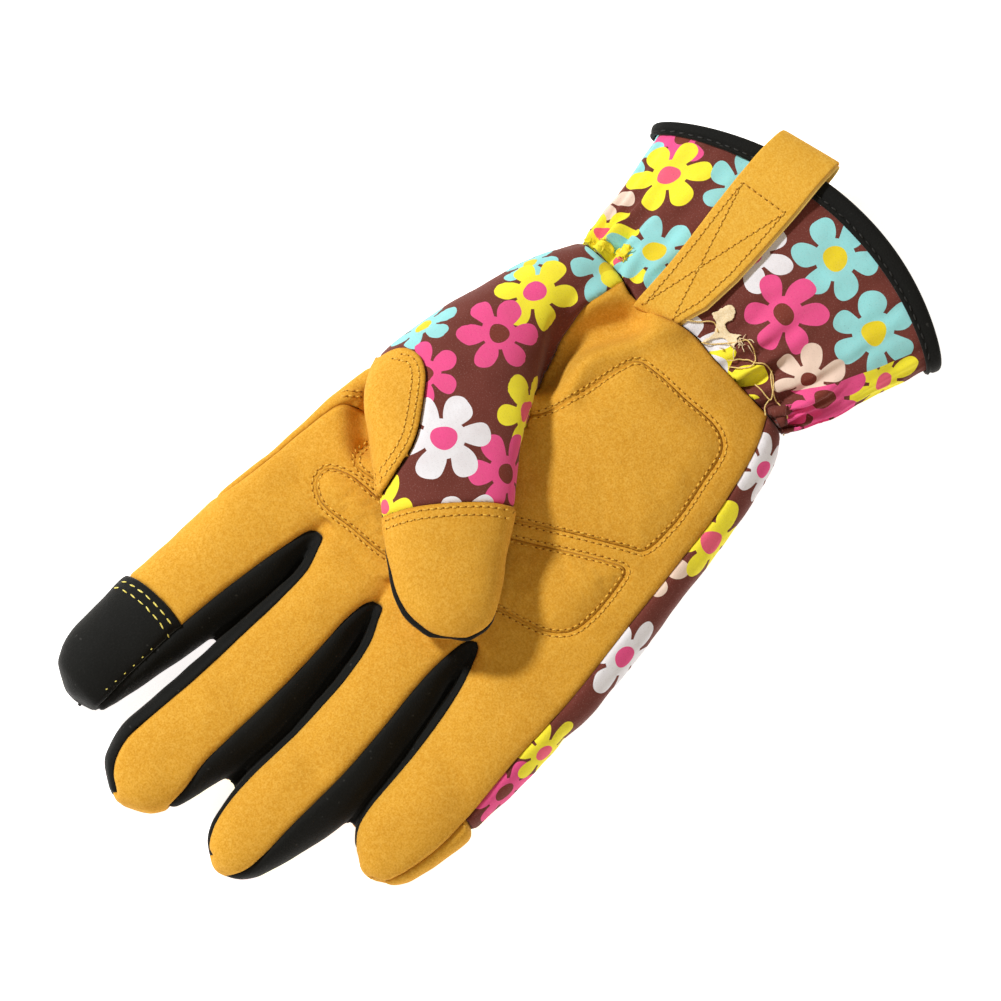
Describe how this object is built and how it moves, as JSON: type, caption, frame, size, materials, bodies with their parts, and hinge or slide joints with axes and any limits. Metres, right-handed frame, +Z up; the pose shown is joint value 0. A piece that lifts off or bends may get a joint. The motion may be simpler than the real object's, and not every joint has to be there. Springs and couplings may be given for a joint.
{
  "type": "gardening glove",
  "caption": "Full-fingered right-hand gardening glove with a padded suede palm, a printed stretch back, a gathered wrist, a flared bound cuff and a pull loop.",
  "frame": {"origin": "on the table, under the middle of the glove's bounding box", "axes": "+Z up out of the palm, +Y from the cuff to the fingertips, +X to the thumb's side"},
  "size_m": [0.105, 0.2378, 0.0346],
  "materials": {
    "suede": "napped tan suede",
    "black_stretch": "matt black stretch knit",
    "printed_cloth": "brown stretch cloth with a print of round-petalled daisies in pink, yellow, pale blue and white"
  },
  "bodies": {
    "root": {"palm_panel": "suede", "heel_pad": "suede", "knuckle_pad": "suede", "saddle_patch": "suede", "thumb_tip_cap": "suede", "thumb_underside": "suede", "little_tip_cap": "suede", "pull_loop": "suede", "index_tip_cap": "black_stretch", "thumb_gusset": "black_stretch", "hem_binding": "black_stretch", "fourchette_little_ring": "black_stretch", "fourchette_ring_middle": "black_stretch", "fourchette_middle_index": "black_stretch", "thumb_back": "printed_cloth", "back_panel": "printed_cloth", "cuff": "printed_cloth"}
  },
  "joints": []
}
